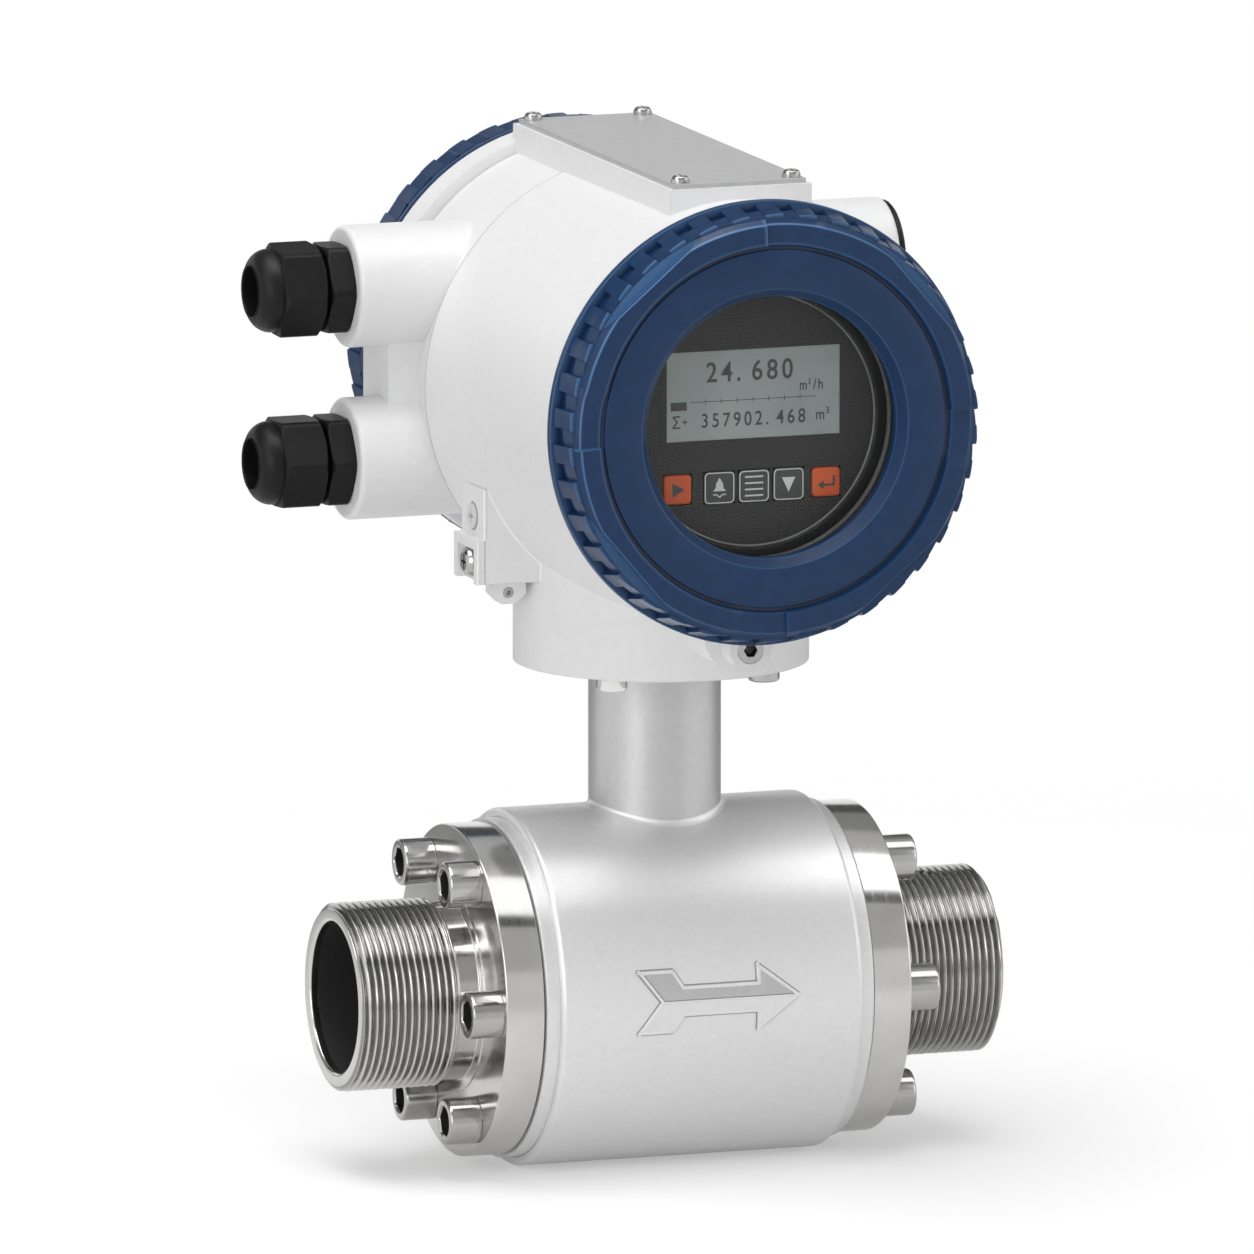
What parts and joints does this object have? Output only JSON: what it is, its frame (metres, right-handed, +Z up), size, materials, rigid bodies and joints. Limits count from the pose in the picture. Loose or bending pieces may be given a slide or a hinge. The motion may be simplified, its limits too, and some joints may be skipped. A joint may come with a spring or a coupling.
{
  "type": "electromagnetic flow meter",
  "caption": "Compact electromagnetic flow meter: threaded pipe ends on a round coil drum, a neck, and a cast head with a windowed display cover, keys and cable glands.",
  "frame": {"origin": "on the pipe axis, midway between the two pipe ends", "axes": "+X along the pipe, the way the flow goes; the display looks along -Y; +Z up the neck to the head"},
  "size_m": [0.2278, 0.2128, 0.324],
  "materials": {
    "white_paint": "smooth satin powder coat on cast aluminium",
    "blue_paint": "deep blue gloss powder coat on cast aluminium",
    "silver_paint": "silver satin paint with a fine grain",
    "steel": "turned stainless steel, bright",
    "bright_screws": "bright stainless steel",
    "plate_metal": "grey satin sheet",
    "black_plastic": "moulded nylon",
    "panel_plastic": "dark panel with fine lines",
    "seal_rubber": "black rubber",
    "white_plastic": "white plug",
    "window_glass": "clear toughened glass",
    "display_glass": "grey-green reflective display",
    "orange_key": "orange key",
    "dark_key": "dark key with a pale outline",
    "board": "green circuit board",
    "brass_parts": "plain brass",
    "coil_wire": "enamelled copper winding",
    "core_iron": "soft iron"
  },
  "bodies": {
    "meter": {"head_housing": "white_paint", "drum_shell": "silver_paint", "neck_tube": "silver_paint", "inlet_connector": "steel", "outlet_connector": "steel", "inlet_end_ring": "steel", "outlet_end_ring": "steel", "measuring_tube": "steel", "inlet_screws": "bright_screws", "outlet_screws": "bright_screws", "neck_screws": "bright_screws", "plate_screws": "bright_screws", "ground_screw": "bright_screws", "cover_lock_screw": "bright_screws", "lug_set_screw": "bright_screws", "electrodes": "bright_screws", "top_plate": "plate_metal", "upper_gland_body": "black_plastic", "lower_gland_body": "black_plastic", "blanking_plug": "black_plastic", "electrode_bushes": "black_plastic", "terminal_block": "black_plastic", "feedthrough": "black_plastic", "key_switches": "black_plastic", "display_bezel": "panel_plastic", "inlet_gasket": "seal_rubber", "outlet_gasket": "seal_rubber", "neck_gasket": "seal_rubber", "bore_liner": "seal_rubber", "sensor_cable": "seal_rubber", "seal_plug": "white_plastic", "lcd_module": "display_glass", "display_board": "board", "main_board": "board", "power_board": "board", "board_pillars": "brass_parts", "terminal_screws": "brass_parts", "upper_coil": "coil_wire", "lower_coil": "coil_wire", "upper_pole": "core_iron", "lower_pole": "core_iron", "magnet_yoke": "core_iron"},
    "front_seal": {"front_cover_seal": "seal_rubber"},
    "front_cover": {"front_cover": "blue_paint", "window_glass": "window_glass", "window_ring": "panel_plastic"},
    "rear_seal": {"rear_cover_seal": "seal_rubber"},
    "rear_cover": {"rear_cover": "blue_paint"},
    "upper_insert": {"upper_gland_seal": "seal_rubber"},
    "upper_nut": {"upper_gland_nut": "black_plastic"},
    "lower_insert": {"lower_gland_seal": "seal_rubber"},
    "lower_nut": {"lower_gland_nut": "black_plastic"},
    "escape_key": {"escape_key": "orange_key"},
    "alarm_key": {"alarm_key": "dark_key"},
    "menu_key": {"menu_key": "dark_key"},
    "down_key": {"down_key": "dark_key"},
    "enter_key": {"enter_key": "orange_key"}
  },
  "joints": [
    {"name": "front_cover_travel", "type": "slide", "parent": "meter", "child": "front_seal", "axis": [0, -1, 0], "range_m": [0, 0.0102]},
    {"name": "front_cover_turn", "type": "hinge", "parent": "front_seal", "child": "front_cover", "pos_m": [0, -0.1, 0.1924], "axis": [0, -1, 0], "range_deg": [0, 1800]},
    {"name": "rear_cover_travel", "type": "slide", "parent": "meter", "child": "rear_seal", "axis": [0, 1, 0], "range_m": [0, 0.0102]},
    {"name": "rear_cover_turn", "type": "hinge", "parent": "rear_seal", "child": "rear_cover", "pos_m": [0, 0.08, 0.1924], "axis": [0, 1, 0], "range_deg": [0, 1800]},
    {"name": "upper_nut_travel", "type": "slide", "parent": "meter", "child": "upper_insert", "axis": [-1, 0, 0], "range_m": [0, 0.0062]},
    {"name": "upper_nut_turn", "type": "hinge", "parent": "upper_insert", "child": "upper_nut", "pos_m": [-0.11, 0.0395, 0.2192], "axis": [-1, 0, 0], "range_deg": [0, 1440]},
    {"name": "lower_nut_travel", "type": "slide", "parent": "meter", "child": "lower_insert", "axis": [-1, 0, 0], "range_m": [0, 0.0062]},
    {"name": "lower_nut_turn", "type": "hinge", "parent": "lower_insert", "child": "lower_nut", "pos_m": [-0.11, 0.0395, 0.1644], "axis": [-1, 0, 0], "range_deg": [0, 1440]},
    {"name": "escape_key_press", "type": "slide", "parent": "meter", "child": "escape_key", "axis": [0, 1, 0], "range_m": [0, 0.0005], "stiffness_N_per_m": 400, "springref_m": -0.001},
    {"name": "alarm_key_press", "type": "slide", "parent": "meter", "child": "alarm_key", "axis": [0, 1, 0], "range_m": [0, 0.0005], "stiffness_N_per_m": 400, "springref_m": -0.001},
    {"name": "menu_key_press", "type": "slide", "parent": "meter", "child": "menu_key", "axis": [0, 1, 0], "range_m": [0, 0.0005], "stiffness_N_per_m": 400, "springref_m": -0.001},
    {"name": "down_key_press", "type": "slide", "parent": "meter", "child": "down_key", "axis": [0, 1, 0], "range_m": [0, 0.0005], "stiffness_N_per_m": 400, "springref_m": -0.001},
    {"name": "enter_key_press", "type": "slide", "parent": "meter", "child": "enter_key", "axis": [0, 1, 0], "range_m": [0, 0.0005], "stiffness_N_per_m": 400, "springref_m": -0.001}
  ],
  "couplings": [
    {"joint": "front_cover_travel", "follows": "front_cover_turn", "m_per_rad": 0.00031831},
    {"joint": "rear_cover_travel", "follows": "rear_cover_turn", "m_per_rad": 0.00031831},
    {"joint": "upper_nut_travel", "follows": "upper_nut_turn", "m_per_rad": 0.00023873},
    {"joint": "lower_nut_travel", "follows": "lower_nut_turn", "m_per_rad": 0.00023873}
  ]
}
